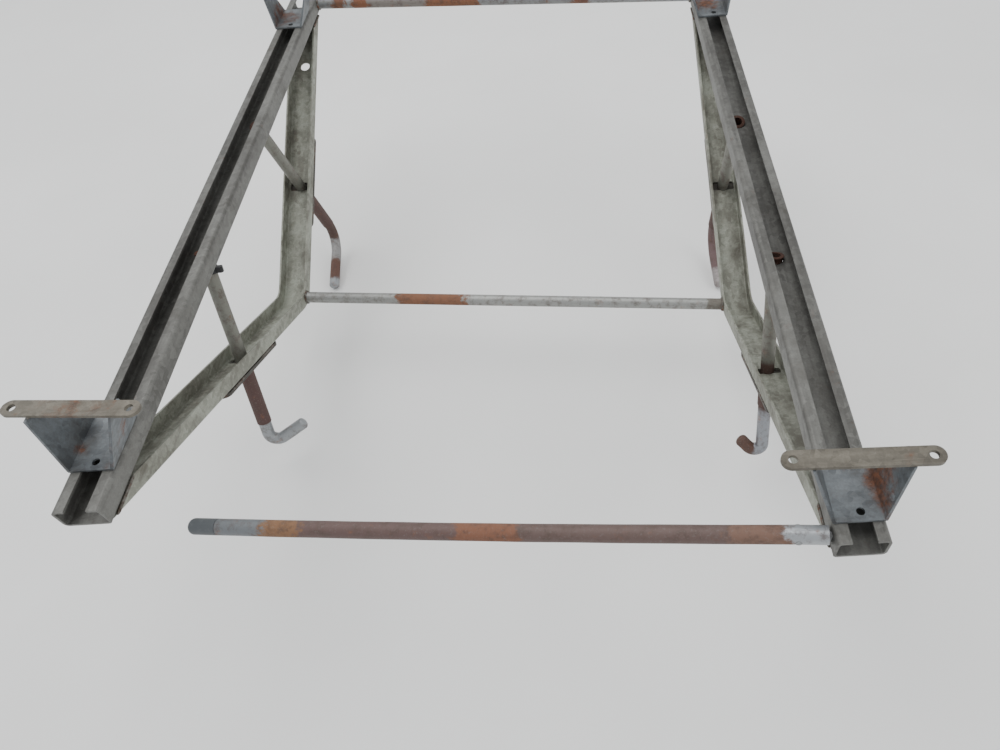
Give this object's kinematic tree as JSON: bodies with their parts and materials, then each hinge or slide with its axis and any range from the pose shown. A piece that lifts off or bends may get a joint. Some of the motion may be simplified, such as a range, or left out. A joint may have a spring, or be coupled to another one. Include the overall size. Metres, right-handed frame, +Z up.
{
  "type": "luggage rack frame",
  "caption": "Open luggage rack frame: two trussed channel side frames on hook-ended tube rods, round cross bars, a drop bar at the front and drilled strips on folded brackets.",
  "frame": {"origin": "under the middle of the rack's box, level with its lowest hooks", "axes": "+X across the rack to the right, +Y from the front drop bar to the rear bar along the rails, +Z up out of the rails' slots"},
  "size_m": [0.7054, 0.957, 0.3676],
  "materials": {
    "galvanised": "weathered hot-dip galvanised channel",
    "chord_zinc": "weathered galvanised channel with green-grey film",
    "bare_zinc": "worn galvanised tube",
    "red_lead": "flaking red-brown oxide paint over tube",
    "bracket_zinc": "galvanised folded sheet with sheared edges",
    "strip_steel": "dull flat bar with light rust",
    "rust": "rusted and stained tube",
    "dark_plastic": "moulded end plug",
    "black_plastic": "moulded nylon tie"
  },
  "bodies": {
    "frame": {"bracket_front_left": "bracket_zinc", "bracket_front_right": "bracket_zinc", "bracket_rear_left": "bracket_zinc", "bracket_rear_right": "bracket_zinc", "centre_bar": "bare_zinc", "doubler_front_left": "galvanised", "doubler_front_right": "galvanised", "doubler_rear_left": "galvanised", "doubler_rear_right": "galvanised", "lower_chord_left": "chord_zinc", "lower_chord_right": "chord_zinc", "pivot_lug": "galvanised", "rear_bar": "rust", "strip_front_left": "strip_steel", "strip_front_right": "strip_steel", "strip_rear_left": "strip_steel", "strip_rear_right": "strip_steel", "top_rail_left": "galvanised", "top_rail_right": "galvanised"},
    "front_bar": {"front_bar": "rust", "front_bar_cap": "dark_plastic", "pivot_pin": "bare_zinc"},
    "hook_front_left": {"hook_rod_front_left": "bare_zinc", "hook_sleeve_front_left": "red_lead", "cable_tie": "black_plastic"},
    "hook_front_right": {"hook_rod_front_right": "bare_zinc", "hook_sleeve_front_right": "red_lead"},
    "hook_rear_left": {"hook_rod_rear_left": "bare_zinc", "hook_sleeve_rear_left": "red_lead"},
    "hook_rear_right": {"hook_rod_rear_right": "bare_zinc", "hook_sleeve_rear_right": "red_lead"}
  },
  "joints": [
    {"name": "front_bar_pivot", "type": "hinge", "parent": "frame", "child": "front_bar", "pos_m": [0.25718, -0.46388, 0.29661], "axis": [-0.1426, -0.9898, 0], "range_deg": [-7.3, 75]},
    {"name": "hook_front_left_swivel", "type": "hinge", "parent": "frame", "child": "hook_front_left", "pos_m": [-0.30482, -0.0941, 0.28561], "axis": [0, -0.3387, -0.9409], "continuous": true},
    {"name": "hook_front_right_swivel", "type": "hinge", "parent": "frame", "child": "hook_front_right", "pos_m": [0.29968, -0.1591, 0.28561], "axis": [0, -0.3387, -0.9409], "continuous": true},
    {"name": "hook_rear_left_swivel", "type": "hinge", "parent": "frame", "child": "hook_rear_left", "pos_m": [-0.30482, 0.1475, 0.28561], "axis": [0, 0.3387, -0.9409], "continuous": true},
    {"name": "hook_rear_right_swivel", "type": "hinge", "parent": "frame", "child": "hook_rear_right", "pos_m": [0.29968, 0.0825, 0.28561], "axis": [0, 0.3387, -0.9409], "continuous": true}
  ]
}
